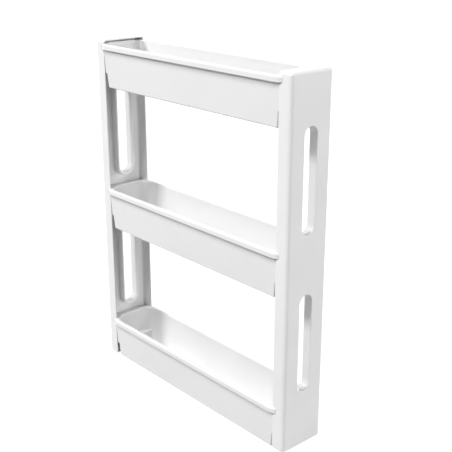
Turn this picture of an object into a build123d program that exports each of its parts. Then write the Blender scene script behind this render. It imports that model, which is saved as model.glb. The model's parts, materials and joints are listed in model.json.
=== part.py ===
from build123d import *
import os

# Slim three-tier rolling cart: two hollow end panels, three tub trays, four fixed rollers.
# Millimetres. X runs along the cart, Y from front to back, Z up.
# The origin is on the floor under the middle of the cart.

# Overall sizes
cart_length = 568.0
panel_depth = 102.0
cart_height = 720.0
ground_gap = 6.0

# End panels: channels open towards the trays
panel_thickness = 29.0
panel_wall = 2.5
panel_corner_radius = 8.0
panel_top_radius = 6.0
panel_foot_radius = 1.0
panel_edge_radius = 0.8

# Hand slots in the end panels, one in each bay, and the sleeves that line them
slot_width = 32.0
slot_above_rim = 26.5
slot_below_bosses = 14.0
slot_edge_radius = 1.0
sleeve_wall = 2.5
sleeve_depth = 21.0
sleeve_lip_length = 5.0
sleeve_lip_width = 2.5
sleeve_mouth_radius = 3.8

# Trays
tray_count = 3
lowest_rim_height = 92.5
tray_height = 90.5
tray_wall = 2.5
tray_side_lean = 4.0
rim_below_panel_top = 7.5
rim_height = 11.0
rim_proud = 5.5
rim_skirt = 2.5
rim_corner_radius = 37.0
rim_top_radius = 3.6
rim_inner_radius = 2.0
rim_end_clearance = 0.6
notch_clearance = 0.4
shoulder_drop = 60.0
neck_reach = 13.0
neck_corner_radius = 31.5
seam = 0.4
tub_end_gap = 2.4
tub_end_draft = 3.0
tub_corner_radius = 3.5
tub_bottom_radius = 3.0
tub_floor_radius = 3.0

# Ledges in the end panels that carry the trays' shoulders, and their screw bosses
ledge_thickness = 2.5
ledge_setback = 1.0
boss_radius = 3.8
boss_length = 11.0

# Screws
screw_shank_radius = 1.75
screw_head_radius = 3.4
screw_head_height = 2.2
screw_crown_radius = 1.4
screw_recess_length = 3.8
screw_recess_width = 1.0
screw_recess_depth = 1.3
screw_bore_clearance = 0.05
tray_screw_length = 12.0
tray_screw_spacing = 24.0
tray_screw_inset = 6.5
roller_screw_length = 9.0
roller_screw_spacing = 13.0

# Rollers
wheel_radius = 11.0
wheel_width = 12.0
tyre_thickness = 2.0
tyre_edge_radius = 0.9
tyre_seat_clearance = 0.05
hub_dish_depth = 1.5
hub_dish_inner = 4.0
hub_dish_outer = 7.4
axle_radius = 2.0
axle_clearance = 0.05
axle_head_radius = 3.2
axle_head_height = 1.2
axle_crown_radius = 0.8
axle_tip_inset = 0.2
axle_tip_chamfer = 0.4
wheel_side_clearance = 0.5
wheel_roof_clearance = 4.0
cheek_thickness = 2.5
cheek_length = 16.0
cheek_foot_radius = 4.5
roof_thickness = 3.0
housing_clearance = 0.5
ear_thickness = 3.0
ear_length = 22.0
ear_depth = 11.0
ear_corner_radius = 2.0

# Places worked out from the sizes
end_x = cart_length / 2
inner_x = end_x - panel_thickness
web_x = end_x - panel_wall
side_y = panel_depth / 2
flange_y = side_y - panel_wall
panel_top = cart_height
highest_rim_height = cart_height - rim_below_panel_top
tray_pitch = (highest_rim_height - lowest_rim_height) / (tray_count - 1)
rim_tops = [highest_rim_height - tray_pitch * i for i in range(tray_count)]
bosses_below_rim = shoulder_drop + ledge_thickness + boss_length
slot_length = tray_pitch - bosses_below_rim - slot_below_bosses - slot_above_rim
rim_x = web_x - rim_end_clearance
rim_y = side_y + rim_proud
neck_x = inner_x + neck_reach
tub_x = inner_x - tub_end_gap
tray_screw_x = neck_x - tray_screw_inset
screw_bore_radius = screw_shank_radius + screw_bore_clearance
axle_bore_radius = axle_radius + axle_clearance
hub_radius = wheel_radius - tyre_thickness
roller_x = end_x - panel_thickness / 2
axle_z = wheel_radius
roof_z = axle_z + wheel_radius + wheel_roof_clearance
ear_top = lowest_rim_height - bosses_below_rim
cheek_y = flange_y - housing_clearance
wheel_y = cheek_y - cheek_thickness - wheel_side_clearance
inner_cheek_y = wheel_y - wheel_width - wheel_side_clearance
ear_y = inner_cheek_y - cheek_thickness
roller_screw_y = ear_y - ear_depth / 2

os.makedirs("parts", exist_ok=True)


def finish(shape, name):
    """Label a finished piece and write it under its own name."""
    shape.label = name
    export_step(shape, "parts/" + name + ".step")


def rim_block(rim_top, grow=0.0):
    """The space that a tray's rim fills, grown by a clearance."""
    with BuildPart() as block:
        with BuildSketch(Plane.XY.offset(rim_top - rim_height - grow)):
            RectangleRounded(2 * (rim_x + grow), 2 * (rim_y + grow), rim_corner_radius + grow)
        extrude(amount=rim_height + 2 * grow)
        fillet(block.faces().sort_by(Axis.Z)[-1].edges(), radius=rim_top_radius + grow)
    return block.part


def tray_side_y(below_rim_top):
    """How far from the middle a tray's side stands: it leans in from under the rim down."""
    return side_y - tray_side_lean * (below_rim_top - rim_height) / (tray_height - rim_height)


def side_block(rim_top, wall):
    """A block between a tray's leaning sides, or between their inner faces."""
    with BuildPart() as block:
        with BuildSketch(Plane.YZ.offset(-rim_x)):
            foot_y = tray_side_y(tray_height) - wall
            top_y = side_y - wall
            with BuildLine():
                Polyline((foot_y, rim_top - tray_height), (top_y, rim_top - rim_height),
                         (top_y, rim_top), (-top_y, rim_top), (-top_y, rim_top - rim_height),
                         (-foot_y, rim_top - tray_height), close=True)
            make_face()
        extrude(amount=2 * rim_x)
    return block.part


def tub_block(rim_top, bottom, top, wall, bottom_radius):
    """The lower tub's outside, or its inside when a wall is taken off, with drafted ends."""
    with BuildPart() as block:
        for height, draft in ((bottom, tub_end_draft), (top, 0.0)):
            with BuildSketch(Plane.XY.offset(height)):
                half_depth = tray_side_y(rim_top - height) - wall
                RectangleRounded(2 * (tub_x - draft - wall), 2 * half_depth, tub_corner_radius)
        loft(ruled=True)
        fillet(block.faces().sort_by(Axis.Z)[0].edges(), radius=bottom_radius)
    return block.part


def upper_tub_block(rim_top, step):
    """The upper tub's outside: sides up to the end panels, rounded necks that reach into them."""
    with BuildPart() as block:
        with BuildSketch(Plane.XY.offset(step)):
            Rectangle(2 * (inner_x - seam), panel_depth)
            RectangleRounded(2 * neck_x, panel_depth, neck_corner_radius)
        extrude(amount=shoulder_drop - tray_wall)
        add(side_block(rim_top, 0.0), mode=Mode.INTERSECT)
    return block.part


def upper_tub_inside(rim_top, step):
    """The upper tub's inside, from its shoulders to the rim."""
    with BuildPart() as block:
        with BuildSketch(Plane.XY.offset(step + tray_wall)):
            inside = (2 * (neck_x - tray_wall), panel_depth - 2 * tray_wall)
            RectangleRounded(*inside, neck_corner_radius - tray_wall)
        extrude(amount=shoulder_drop - tray_wall)
        add(side_block(rim_top, tray_wall), mode=Mode.INTERSECT)
    return block.part


def make_tray(rim_top):
    """A tub whose ends step in, with a rolled rim that is hollow underneath."""
    bottom = rim_top - tray_height
    step = rim_top - shoulder_drop
    with BuildPart() as tray:
        # Rim, open underneath between its skirt and the walls
        add(rim_block(rim_top))
        with BuildSketch(Plane.XY.offset(rim_top - rim_height)):
            skirt_radius = rim_corner_radius - rim_skirt
            RectangleRounded(2 * (rim_x - rim_skirt), 2 * (rim_y - rim_skirt), skirt_radius)
        extrude(amount=rim_height - tray_wall, mode=Mode.SUBTRACT)

        # Upper and lower tub, then the inside of both
        add(upper_tub_block(rim_top, step))
        add(tub_block(rim_top, bottom, step, 0.0, tub_bottom_radius))
        add(upper_tub_inside(rim_top, step), mode=Mode.SUBTRACT)
        inside_floor = bottom + tray_wall
        add(tub_block(rim_top, inside_floor, step + tray_wall, tray_wall, tub_floor_radius),
            mode=Mode.SUBTRACT)
        top_face = tray.faces().filter_by(Plane.XY).sort_by(Axis.Z)[-1]
        fillet(top_face.inner_wires()[0].edges(), radius=rim_inner_radius)

        # Screw holes in the shoulders
        with Locations(*tray_screw_spots(step + tray_wall / 2)):
            Cylinder(screw_bore_radius, 2 * tray_wall, mode=Mode.SUBTRACT)
    return tray.part


def tray_screw_spots(z):
    """The four places of a tray's screws, at one height."""
    return [(x, y, z) for x in (-tray_screw_x, tray_screw_x)
            for y in (-tray_screw_spacing / 2, tray_screw_spacing / 2)]


def channel_block(reach, half_depth, top, corner_radius, top_radius):
    """The end panel's outside or its hollow: a block with rounded outer corners and top."""
    with BuildPart() as block:
        with BuildSketch(Plane.XY.offset(ground_gap)):
            with Locations((inner_x, 0)):
                Rectangle(reach - inner_x, 2 * half_depth, align=(Align.MIN, Align.CENTER))
            fillet(vertices().group_by(Axis.X)[-1], radius=corner_radius)
        extrude(amount=top - ground_gap)
        fillet(block.faces().sort_by(Axis.Z)[-1].edges().sort_by(Axis.X)[1:], radius=top_radius)
    return block.part


def make_panel():
    """The right-hand end panel. The left one is the same moulding, turned round."""
    with BuildPart() as panel:
        # Shell
        add(channel_block(end_x, side_y, panel_top, panel_corner_radius, panel_top_radius))
        foot = panel.faces().sort_by(Axis.Z)[0].edges().sort_by(Axis.X)[1:]
        fillet(foot, radius=panel_foot_radius)
        hollow = channel_block(web_x, flange_y, panel_top - panel_wall,
                               panel_corner_radius - panel_wall, panel_top_radius - panel_wall)
        add(hollow, mode=Mode.SUBTRACT)
        fillet(panel.edges().filter_by(Axis.Z).group_by(Axis.X)[0], radius=panel_edge_radius)

        # Ledges, each with two bosses for a tray's screws
        for rim_top in rim_tops:
            ledge_top = rim_top - shoulder_drop
            with BuildSketch(Plane.XY.offset(ledge_top - ledge_thickness)):
                with Locations((web_x, 0)):
                    ledge_depth = web_x - inner_x - ledge_setback
                    Rectangle(ledge_depth, 2 * flange_y, align=(Align.MAX, Align.CENTER))
            extrude(amount=ledge_thickness)
            with BuildSketch(Plane.XY.offset(ledge_top - ledge_thickness)):
                with Locations((tray_screw_x, 0)):
                    with GridLocations(0, tray_screw_spacing, 1, 2):
                        Circle(boss_radius)
            extrude(amount=-boss_length)
            with BuildSketch(Plane.XY.offset(ledge_top)):
                with Locations((tray_screw_x, 0)):
                    with GridLocations(0, tray_screw_spacing, 1, 2):
                        Circle(screw_bore_radius)
            extrude(amount=-ledge_thickness - boss_length, mode=Mode.SUBTRACT)

        # Bosses under the lowest ledge for the roller housings' screws
        with BuildSketch(Plane.XY.offset(ear_top)):
            with Locations((roller_x, 0)):
                with GridLocations(roller_screw_spacing, 2 * roller_screw_y, 2, 2):
                    Circle(boss_radius)
                    Circle(screw_bore_radius, mode=Mode.SUBTRACT)
        extrude(amount=boss_length)

        # Notches that the trays' rims pass through
        for rim_top in rim_tops:
            add(rim_block(rim_top, notch_clearance), mode=Mode.SUBTRACT)

        # Hand slots and the sleeves that line them, with a rolled inner mouth
        for rim_top in rim_tops[1:]:
            middle = rim_top + slot_above_rim + slot_length / 2
            lip = sleeve_wall + sleeve_lip_width
            for collar, length in ((sleeve_wall, sleeve_depth - panel_wall), (lip, sleeve_lip_length)):
                with BuildSketch(Plane.YZ.offset(end_x - sleeve_depth)):
                    with Locations((0, middle)):
                        SlotOverall(slot_length + 2 * collar, slot_width + 2 * collar, rotation=90)
                extrude(amount=length)
            with BuildSketch(Plane.YZ.offset(end_x - sleeve_depth)):
                with Locations((0, middle)):
                    SlotOverall(slot_length, slot_width, rotation=90)
            extrude(amount=sleeve_depth, mode=Mode.SUBTRACT)
            fillet(panel.edges().filter_by(on_slot_edge(end_x, middle)), radius=slot_edge_radius)
            mouth = panel.edges().filter_by(on_slot_edge(end_x - sleeve_depth, middle))
            fillet(mouth, radius=sleeve_mouth_radius)
    return panel.part


def on_slot_edge(face_x, middle):
    """A test for the edges round a slot where it meets the face at one X."""
    half_straight = (slot_length - slot_width) / 2

    def test(edge):
        spot = edge @ 0.5
        past_straight = max(abs(spot.Z - middle) - half_straight, 0.0)
        from_middle = (spot.Y ** 2 + past_straight ** 2) ** 0.5
        return abs(spot.X - face_x) < 0.01 and abs(from_middle - slot_width / 2) < 0.01
    return test


def make_screw(length):
    """A pan-head screw with a cross recess, its seat at Z 0 and its shank pointing down."""
    with BuildPart() as screw:
        with BuildSketch():
            Circle(screw_head_radius)
        extrude(amount=screw_head_height)
        fillet(screw.edges().group_by(Axis.Z)[-1], radius=screw_crown_radius)
        with BuildSketch(Plane.XY.offset(screw_head_height)):
            Rectangle(screw_recess_length, screw_recess_width)
            Rectangle(screw_recess_width, screw_recess_length)
        extrude(amount=-screw_recess_depth, mode=Mode.SUBTRACT)
        with BuildSketch():
            Circle(screw_shank_radius)
        extrude(amount=-length)
        chamfer(screw.edges().group_by(Axis.Z)[0], length=screw_shank_radius / 2)
    return screw.part


def make_housing():
    """A front roller's housing, centred on its axle: two cheeks, a roof and a screwed ear."""
    with BuildPart() as housing:
        for inner_face in (cheek_y - cheek_thickness, inner_cheek_y - cheek_thickness):
            with BuildSketch(Plane.XZ.offset(inner_face)):
                with Locations((0, roof_z + roof_thickness)):
                    cheek_height = roof_z + roof_thickness - ear_top + ear_thickness
                    Rectangle(cheek_length, cheek_height, align=(Align.CENTER, Align.MAX))
                with Locations((0, axle_z)):
                    Circle(cheek_foot_radius)
                make_hull()
                with Locations((0, axle_z)):
                    Circle(axle_bore_radius, mode=Mode.SUBTRACT)
            extrude(amount=cheek_thickness)
        with BuildSketch(Plane.XY.offset(roof_z)):
            with Locations((0, -cheek_y)):
                Rectangle(cheek_length, cheek_y - ear_y, align=(Align.CENTER, Align.MIN))
        extrude(amount=roof_thickness)
        with BuildSketch(Plane.XY.offset(ear_top - ear_thickness)):
            with Locations((0, -ear_y)):
                Rectangle(ear_length, ear_depth, align=(Align.CENTER, Align.MIN))
            fillet(vertices(), radius=ear_corner_radius)
            with Locations((0, -ear_y)):
                Rectangle(cheek_length, ear_depth, align=(Align.CENTER, Align.MIN))
            with Locations((0, -roller_screw_y)):
                with GridLocations(roller_screw_spacing, 0, 2, 1):
                    Circle(screw_bore_radius, mode=Mode.SUBTRACT)
        extrude(amount=ear_thickness)
    return housing.part


def make_axle_pin():
    """The pin across a front housing, its domed head against the inner cheek."""
    with BuildPart() as pin:
        with BuildSketch(Plane.XZ.offset(ear_y)):
            with Locations((0, axle_z)):
                Circle(axle_head_radius)
        extrude(amount=-axle_head_height)
        fillet(pin.edges().group_by(Axis.Y)[-1], radius=axle_crown_radius)
        with BuildSketch(Plane.XZ.offset(ear_y)):
            with Locations((0, axle_z)):
                Circle(axle_radius)
        extrude(amount=cheek_y - ear_y - axle_tip_inset)
        chamfer(pin.edges().group_by(Axis.Y)[0], length=axle_tip_chamfer)
    return pin.part


def make_hub():
    """A front wheel's hub, dished on both sides."""
    with BuildPart() as hub:
        with BuildSketch(Plane.XZ.offset(wheel_y - wheel_width)):
            with Locations((0, axle_z)):
                Circle(hub_radius)
                Circle(axle_bore_radius, mode=Mode.SUBTRACT)
        extrude(amount=wheel_width)
        for inner_face in (wheel_y - wheel_width, wheel_y - hub_dish_depth):
            with BuildSketch(Plane.XZ.offset(inner_face)):
                with Locations((0, axle_z)):
                    Circle(hub_dish_outer)
                    Circle(hub_dish_inner, mode=Mode.SUBTRACT)
            extrude(amount=hub_dish_depth, mode=Mode.SUBTRACT)
    return hub.part


def make_tyre():
    """A front wheel's tyre."""
    with BuildPart() as tyre:
        with BuildSketch(Plane.XZ.offset(wheel_y - wheel_width)):
            with Locations((0, axle_z)):
                Circle(wheel_radius)
        extrude(amount=wheel_width)
        fillet(tyre.edges().filter_by(GeomType.CIRCLE), radius=tyre_edge_radius)
        with BuildSketch(Plane.XZ.offset(wheel_y - wheel_width)):
            with Locations((0, axle_z)):
                Circle(hub_radius + tyre_seat_clearance)
        extrude(amount=wheel_width, mode=Mode.SUBTRACT)
    return tyre.part


def copies(shape, spots):
    """Copies of a piece at each spot, as one node."""
    with BuildPart() as group:
        with Locations(*spots):
            add(shape)
    return group.part


# End panels
right_panel = make_panel()
finish(right_panel, "end_panel_right")
finish(copies(right_panel, [Location((0, 0, 0), (0, 0, 180))]), "end_panel_left")

# Trays and their screws
for tray_name, tray_top in zip(("top", "middle", "bottom"), rim_tops):
    finish(make_tray(tray_top), "tray_" + tray_name)
tray_seats = [tray_top - shoulder_drop + tray_wall for tray_top in rim_tops]
tray_spots = [Location(spot) for seat in tray_seats for spot in tray_screw_spots(seat)]
finish(copies(make_screw(tray_screw_length), tray_spots), "tray_screws")

# Rollers: the back ones are the front ones turned round
roller_pieces = {
    "roller_housing": make_housing(),
    "axle_pin": make_axle_pin(),
    "wheel_hub": make_hub(),
    "wheel_tyre": make_tyre(),
}
roller_spots = {
    "front_left": Location((-roller_x, 0, 0)),
    "front_right": Location((roller_x, 0, 0)),
    "back_left": Location((-roller_x, 0, 0), (0, 0, 180)),
    "back_right": Location((roller_x, 0, 0), (0, 0, 180)),
}
for corner, spot in roller_spots.items():
    for piece_name, piece in roller_pieces.items():
        finish(copies(piece, [spot]), piece_name + "_" + corner)

roller_screw_spots = [
    Location((x + dx, y, ear_top - ear_thickness), (180, 0, 0))
    for x in (-roller_x, roller_x)
    for dx in (-roller_screw_spacing / 2, roller_screw_spacing / 2)
    for y in (-roller_screw_y, roller_screw_y)
]
finish(copies(make_screw(roller_screw_length), roller_screw_spots), "roller_screws")
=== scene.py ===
import json
import math

import bpy
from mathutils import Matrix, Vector

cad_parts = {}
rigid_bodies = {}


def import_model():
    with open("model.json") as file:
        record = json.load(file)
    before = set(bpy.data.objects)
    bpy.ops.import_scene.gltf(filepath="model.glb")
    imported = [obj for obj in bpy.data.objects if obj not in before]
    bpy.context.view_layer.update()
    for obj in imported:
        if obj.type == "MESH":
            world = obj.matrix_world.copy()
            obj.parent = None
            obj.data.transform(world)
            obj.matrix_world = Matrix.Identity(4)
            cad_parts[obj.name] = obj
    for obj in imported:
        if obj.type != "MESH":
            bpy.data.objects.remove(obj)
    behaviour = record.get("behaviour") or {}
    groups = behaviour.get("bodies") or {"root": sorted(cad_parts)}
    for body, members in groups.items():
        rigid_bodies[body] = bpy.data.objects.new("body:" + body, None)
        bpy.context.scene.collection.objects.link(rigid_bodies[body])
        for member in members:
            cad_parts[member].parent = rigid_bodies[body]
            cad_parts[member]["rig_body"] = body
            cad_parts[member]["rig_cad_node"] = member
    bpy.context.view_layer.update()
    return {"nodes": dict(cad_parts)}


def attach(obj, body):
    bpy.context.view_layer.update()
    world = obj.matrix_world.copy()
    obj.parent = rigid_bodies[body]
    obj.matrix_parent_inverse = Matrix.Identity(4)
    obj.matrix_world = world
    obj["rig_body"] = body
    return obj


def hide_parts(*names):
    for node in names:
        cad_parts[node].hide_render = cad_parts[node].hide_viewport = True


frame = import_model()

bpy.ops.object.select_all(action="DESELECT")

MM = 0.001
CART = "cart_body"
ENDS = ("left", "right")
LEVELS = ("top", "middle", "bottom")
CORNERS = ("front_left", "front_right", "back_left", "back_right")

# How the moulded pieces' edges are rounded
MERGE_MM = 0.002
FLAT_DEGREES = 0.3
SHARP_DEGREES = 35
EDGE_ROUND_MM = 0.35
EDGE_ROUND_STEPS = 2

# Flow clouds in moulded plastic: how many to the metre, where they fade, how far the gloss varies
CLOUDS_PER_METRE = 9.0
CLOUD_FADE = (0.35, 0.65)
GLOSS_SHARES = (0.92, 1.08)

# Draw marks on steel: how many to the metre, how far the gloss varies
MARKS_PER_METRE = 2500.0
STEEL_GLOSS_SHARES = (0.7, 1.3)

# Camera: where it stands, which way it looks and its lens
CAMERA_PLACE = (1.2674, -1.0618, 0.9531)
CAMERA_TURN = 0.847
CAMERA_PITCH = -0.338
CAMERA_LENS = 69.5

# Softboxes: azimuth 0 stands in front of the cart and 90 off its right-hand end. The two at the
# back are low, so that they lift the cart's back without brightening its tops
AIM = Vector((0.0, 0.0, 0.36))
SOFTBOXES = {
    "front_top": {"azimuth": 6, "elevation": 62, "distance": 10.0, "size": 2.4, "watts": 600.0},
    "side": {"azimuth": 95, "elevation": 12, "distance": 10.0, "size": 2.4, "watts": 382.0},
    "front_left": {"azimuth": -30, "elevation": 40, "distance": 10.0, "size": 2.4, "watts": 730.0},
    "back_right": {"azimuth": 150, "elevation": 6, "distance": 10.0, "size": 2.0, "watts": 320.0},
    "back_left": {"azimuth": 215, "elevation": 6, "distance": 10.0, "size": 2.0, "watts": 320.0},
}
AMBIENT = 0.07
FLOOR_GLOW = 0.95
FLOOR_SIDE = 40.0
FLOOR_COLOUR = "#8C8C8C"


def to_linear(hex_colour):
    """An sRGB hex colour as linear RGBA."""
    shares = [int(hex_colour[i:i + 2], 16) / 255 for i in (1, 3, 5)]
    return [s / 12.92 if s <= 0.04045 else ((s + 0.055) / 1.055) ** 2.4 for s in shares] + [1.0]


def add_node(tree, kind, settings=None, **inputs):
    """A node with its settings. An input is a value, or another node's output to link."""
    node = tree.nodes.new(kind)
    for name, value in (settings or {}).items():
        setattr(node, name, value)
    for name, value in inputs.items():
        socket = node.inputs[int(name[1:]) if name[1:].isdigit() else name.replace("_", " ")]
        if isinstance(value, bpy.types.NodeSocket):
            tree.links.new(value, socket)
        else:
            socket.default_value = value
    return node


def new_material(name, **shader_values):
    """A material with its shader's own values set, its tree and its shader."""
    material = bpy.data.materials.new(name)
    material.use_nodes = True
    shader = material.node_tree.nodes["Principled BSDF"]
    for socket, value in shader_values.items():
        shader.inputs[socket.replace("_", " ")].default_value = value
    return material, material.node_tree, shader


def moulded_plastic(name, pale, shade, roughness, grain_mm, grain_height_mm):
    """A plain moulded plastic: slight flow clouds in colour and gloss, and a spark-etched grain."""
    material, tree, shader = new_material(name, IOR=1.49)
    place = add_node(tree, "ShaderNodeTexCoord").outputs["Object"]
    clouds = add_node(tree, "ShaderNodeTexNoise", Vector=place, Scale=CLOUDS_PER_METRE,
                      Detail=2.0, Roughness=0.5)
    tint = add_node(tree, "ShaderNodeValToRGB", Fac=clouds.outputs["Fac"])
    for stop, place_on_ramp, colour in zip(tint.color_ramp.elements, CLOUD_FADE, (shade, pale)):
        stop.position = place_on_ramp
        stop.color = to_linear(colour)
    tree.links.new(tint.outputs["Color"], shader.inputs["Base Color"])
    gloss = add_node(tree, "ShaderNodeMapRange", Value=clouds.outputs["Fac"], From_Min=0.3,
                     From_Max=0.7, To_Min=roughness * GLOSS_SHARES[0], To_Max=roughness * GLOSS_SHARES[1])
    tree.links.new(gloss.outputs["Result"], shader.inputs["Roughness"])
    grain = add_node(tree, "ShaderNodeTexNoise", Vector=place, Scale=1 / (grain_mm * MM), Detail=3.0)
    bump = add_node(tree, "ShaderNodeBump", Height=grain.outputs["Fac"], Strength=0.5,
                    Distance=grain_height_mm * MM)
    tree.links.new(bump.outputs["Normal"], shader.inputs["Normal"])
    return material


def drawn_steel(name, colour, roughness):
    """Bright steel with fine draw marks."""
    material, tree, shader = new_material(name, Metallic=1.0, Base_Color=to_linear(colour))
    place = add_node(tree, "ShaderNodeTexCoord").outputs["Object"]
    marks = add_node(tree, "ShaderNodeTexNoise", Vector=place, Scale=MARKS_PER_METRE, Detail=2.0)
    gloss = add_node(tree, "ShaderNodeMapRange", Value=marks.outputs["Fac"],
                     To_Min=roughness * STEEL_GLOSS_SHARES[0], To_Max=roughness * STEEL_GLOSS_SHARES[1])
    tree.links.new(gloss.outputs["Result"], shader.inputs["Roughness"])
    return material


def softened(node, body, material):
    """A merged copy of a solid with its sharp moulded edges rounded, in the solid's place."""
    source = frame["nodes"][node]
    bpy.ops.object.select_all(action="DESELECT")
    source.select_set(True)
    bpy.context.view_layer.objects.active = source
    bpy.ops.object.duplicate()
    piece = bpy.context.object
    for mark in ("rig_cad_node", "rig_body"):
        if mark in piece:
            del piece[mark]
    bpy.ops.object.parent_clear(type="CLEAR_KEEP_TRANSFORM")
    bpy.ops.object.transform_apply(location=True, rotation=True, scale=True)
    piece.name = "moulded_" + node
    bpy.ops.mesh.customdata_custom_splitnormals_clear()
    bpy.ops.object.mode_set(mode="EDIT")
    bpy.ops.mesh.select_mode(type="EDGE")
    bpy.ops.mesh.select_all(action="SELECT")
    bpy.ops.mesh.remove_doubles(threshold=MERGE_MM * MM)
    bpy.ops.mesh.dissolve_limited(angle_limit=math.radians(FLAT_DEGREES))
    bpy.ops.mesh.select_all(action="DESELECT")
    bpy.ops.mesh.edges_select_sharp(sharpness=math.radians(SHARP_DEGREES))
    bpy.ops.mesh.bevel(offset=EDGE_ROUND_MM * MM, segments=EDGE_ROUND_STEPS, clamp_overlap=True,
                       miter_outer="ARC")
    bpy.ops.object.mode_set(mode="OBJECT")
    bpy.ops.object.shade_smooth_by_angle(angle=math.radians(SHARP_DEGREES))
    bpy.ops.object.modifier_add(type="WEIGHTED_NORMAL")
    piece.modifiers[-1].keep_sharp = True
    bpy.ops.object.modifier_apply(modifier=piece.modifiers[-1].name)
    dress(piece, material)
    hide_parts(node)
    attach(piece, body)


def dress(piece, material):
    """Give a piece its one material."""
    piece.data.materials.clear()
    piece.data.materials.append(material)


def put_camera():
    data = bpy.data.cameras.new("camera")
    data.lens = CAMERA_LENS
    camera = bpy.data.objects.new("camera", data)
    bpy.context.scene.collection.objects.link(camera)
    camera.location = CAMERA_PLACE
    camera.rotation_euler = (math.pi / 2 + CAMERA_PITCH, 0, CAMERA_TURN)
    bpy.context.scene.camera = camera


def put_softboxes():
    for name, box in SOFTBOXES.items():
        data = bpy.data.lights.new(name, "AREA")
        data.size = box["size"]
        data.energy = box["watts"]
        lamp = bpy.data.objects.new(name, data)
        bpy.context.scene.collection.objects.link(lamp)
        azimuth, elevation = math.radians(box["azimuth"]), math.radians(box["elevation"])
        out = Vector((math.sin(azimuth) * math.cos(elevation),
                      -math.cos(azimuth) * math.cos(elevation), math.sin(elevation)))
        lamp.location = AIM + out * box["distance"]
        lamp.rotation_euler = (-out).to_track_quat("-Z", "Y").to_euler()


def seen_rays(tree):
    """1 where the camera, a reflection or a view through something sees the surface."""
    rays = add_node(tree, "ShaderNodeLightPath").outputs
    mirrored = add_node(tree, "ShaderNodeMath", {"operation": "MAXIMUM"},
                        _0=rays["Is Glossy Ray"], _1=rays["Is Transmission Ray"])
    return add_node(tree, "ShaderNodeMath", {"operation": "MAXIMUM"},
                    _0=rays["Is Camera Ray"], _1=mirrored.outputs[0]).outputs[0]


def put_surroundings():
    """A white studio: dim light from all round, and a pale floor that keeps the shadow."""
    world = bpy.data.worlds.new("studio")
    world.use_nodes = True
    bpy.context.scene.world = world
    tree = world.node_tree
    light = tree.nodes["Background"]
    light.inputs["Color"].default_value = (1, 1, 1, 1)
    strength = add_node(tree, "ShaderNodeMapRange", Value=seen_rays(tree), To_Min=AMBIENT, To_Max=1.0)
    tree.links.new(strength.outputs["Result"], light.inputs["Strength"])

    bpy.ops.mesh.primitive_plane_add(size=FLOOR_SIDE)
    floor = bpy.context.object
    floor.name = "floor"
    material, tree, shader = new_material("matt_white_paper", Roughness=0.9,
                                          Base_Color=to_linear(FLOOR_COLOUR),
                                          Emission_Color=(1, 1, 1, 1))
    glow = add_node(tree, "ShaderNodeMath", {"operation": "MULTIPLY"}, _0=seen_rays(tree), _1=FLOOR_GLOW)
    tree.links.new(glow.outputs[0], shader.inputs["Emission Strength"])
    floor.data.materials.append(material)


put_camera()
put_softboxes()
put_surroundings()

panel_white = moulded_plastic("moulded_polypropylene_panel", "#EDEDED", "#EAEAEA", 0.32, 0.8, 0.02)
tray_white = moulded_plastic("moulded_polypropylene_tray", "#E9E9E9", "#E6E6E6", 0.32, 0.8, 0.02)
housing_white = moulded_plastic("moulded_nylon_housing", "#E8E8E6", "#E3E3E1", 0.5, 0.7, 0.02)
hub_white = moulded_plastic("moulded_nylon_hub", "#E6E6E3", "#E0E0DD", 0.45, 0.7, 0.02)
tread_grey = moulded_plastic("soft_pvc_tread", "#D8D8D5", "#D0D0CD", 0.6, 0.6, 0.03)
axle_steel = drawn_steel("drawn_steel_pin", "#C9C9C7", 0.3)
screw_steel = drawn_steel("zinc_plated_steel", "#C4C6C8", 0.35)

for end in ENDS:
    softened("end_panel_" + end, CART, panel_white)
for level in LEVELS:
    softened("tray_" + level, CART, tray_white)
for corner in CORNERS:
    softened("roller_housing_" + corner, CART, housing_white)
    softened("wheel_hub_" + corner, "wheel_" + corner, hub_white)
    dress(frame["nodes"]["wheel_tyre_" + corner], tread_grey)
    dress(frame["nodes"]["axle_pin_" + corner], axle_steel)
for screws in ("tray_screws", "roller_screws"):
    dress(frame["nodes"][screws], screw_steel)

bpy.context.scene.view_settings.view_transform = "Standard"
